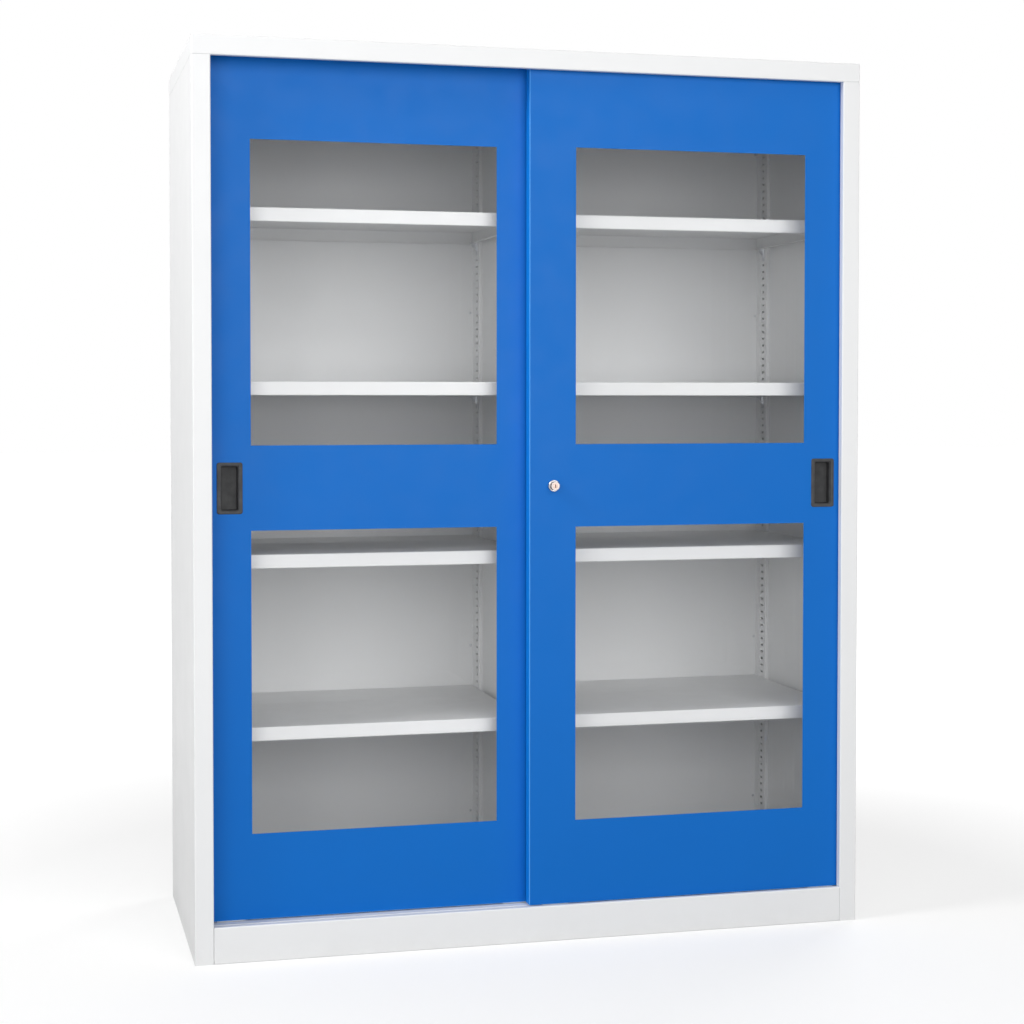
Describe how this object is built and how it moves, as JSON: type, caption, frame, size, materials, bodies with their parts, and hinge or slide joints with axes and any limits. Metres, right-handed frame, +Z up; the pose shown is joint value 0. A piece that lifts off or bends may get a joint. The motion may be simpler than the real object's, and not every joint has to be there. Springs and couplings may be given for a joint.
{
  "type": "sliding door cabinet",
  "caption": "Tall steel cabinet with two overlapping sliding doors with glazed windows, recessed grips, a push lock and shelves on clips in two bays.",
  "frame": {"origin": "middle of the width and depth at the floor", "axes": "+Z up, -Y out of the doors, +X to the right seen from the front"},
  "size_m": [1.5, 0.6, 1.95],
  "materials": {
    "body_paint": "light grey textured powder coat",
    "door_paint": "blue textured powder coat",
    "pane": "clear",
    "frame_plastic": "matt",
    "grip_plastic": "fine textured",
    "zinc": "zinc plated",
    "nylon": "smooth",
    "buffer_rubber": "matt",
    "lock_chrome": "polished nickel",
    "lock_brass": "satin"
  },
  "bodies": {
    "cabinet": {"cap": "body_paint", "cap_screws": "zinc", "cap_stiffener": "body_paint", "centre_partition": "body_paint", "floor_panel": "body_paint", "left_bay_clips": "zinc", "left_bay_shelf_1": "body_paint", "left_bay_shelf_2": "body_paint", "left_bay_shelf_3": "body_paint", "left_bay_shelf_4": "body_paint", "left_bay_strips": "body_paint", "left_rear_panel": "body_paint", "left_side_panel": "body_paint", "lower_guide_rail": "body_paint", "plinth_front": "body_paint", "rear_rivets": "zinc", "right_bay_clips": "zinc", "right_bay_shelf_1": "body_paint", "right_bay_shelf_2": "body_paint", "right_bay_shelf_3": "body_paint", "right_bay_shelf_4": "body_paint", "right_bay_strips": "body_paint", "right_rear_panel": "body_paint", "right_side_panel": "body_paint", "track_screws": "zinc", "track_stops": "buffer_rubber", "upper_track": "zinc"},
    "right_door": {"right_door_axles": "zinc", "right_door_buffers": "buffer_rubber", "right_door_grip": "grip_plastic", "right_door_guides": "nylon", "right_door_hangers": "zinc", "right_door_lower_pane": "pane", "right_door_pane_frames": "frame_plastic", "right_door_ribs": "door_paint", "right_door_screws": "zinc", "right_door_skin": "door_paint", "right_door_upper_pane": "pane", "lock_housing": "lock_chrome", "lock_nut": "zinc", "lock_spring": "zinc"},
    "right_roller_1": {"right_door_roller_1": "nylon"},
    "right_roller_2": {"right_door_roller_2": "nylon"},
    "left_door": {"left_door_axles": "zinc", "left_door_buffers": "buffer_rubber", "left_door_grip": "grip_plastic", "left_door_guides": "nylon", "left_door_hangers": "zinc", "left_door_lower_pane": "pane", "left_door_pane_frames": "frame_plastic", "left_door_ribs": "door_paint", "left_door_screws": "zinc", "left_door_skin": "door_paint", "left_door_upper_pane": "pane", "lock_keeper": "zinc"},
    "left_roller_1": {"left_door_roller_1": "nylon"},
    "left_roller_2": {"left_door_roller_2": "nylon"},
    "lock_push": {"lock_plunger": "lock_chrome"},
    "key_plug": {"lock_key_plug": "lock_brass"}
  },
  "joints": [
    {"name": "right_door_slide", "type": "slide", "parent": "cabinet", "child": "right_door", "axis": [-1, 0, 0], "range_m": [0, 0.695]},
    {"name": "left_door_slide", "type": "slide", "parent": "cabinet", "child": "left_door", "axis": [1, 0, 0], "range_m": [0, 0.695]},
    {"name": "lock_push_slide", "type": "slide", "parent": "right_door", "child": "lock_push", "axis": [0, 1, 0], "range_m": [0, 0.01], "stiffness_N_per_m": 300, "springref_m": -0.005, "deforming": ["lock_spring"]},
    {"name": "key_turn", "type": "hinge", "parent": "lock_push", "child": "key_plug", "pos_m": [0.036, -0.2996, 1.002], "axis": [0, 1, 0], "range_deg": [0, 90]},
    {"name": "right_roller_1_spin", "type": "hinge", "parent": "right_door", "child": "right_roller_1", "pos_m": [0.042, -0.2675, 1.93605], "axis": [0, 1, 0], "continuous": true},
    {"name": "right_roller_2_spin", "type": "hinge", "parent": "right_door", "child": "right_roller_2", "pos_m": [0.672, -0.2675, 1.93605], "axis": [0, 1, 0], "continuous": true},
    {"name": "left_roller_1_spin", "type": "hinge", "parent": "left_door", "child": "left_roller_1", "pos_m": [-0.668, -0.2335, 1.93605], "axis": [0, 1, 0], "continuous": true},
    {"name": "left_roller_2_spin", "type": "hinge", "parent": "left_door", "child": "left_roller_2", "pos_m": [-0.038, -0.2335, 1.93605], "axis": [0, 1, 0], "continuous": true}
  ],
  "couplings": [
    {"joint": "right_roller_1_spin", "follows": "right_door_slide", "rad_per_m": -133.33},
    {"joint": "right_roller_2_spin", "follows": "right_door_slide", "rad_per_m": -133.33},
    {"joint": "left_roller_1_spin", "follows": "left_door_slide", "rad_per_m": 133.33},
    {"joint": "left_roller_2_spin", "follows": "left_door_slide", "rad_per_m": 133.33}
  ]
}
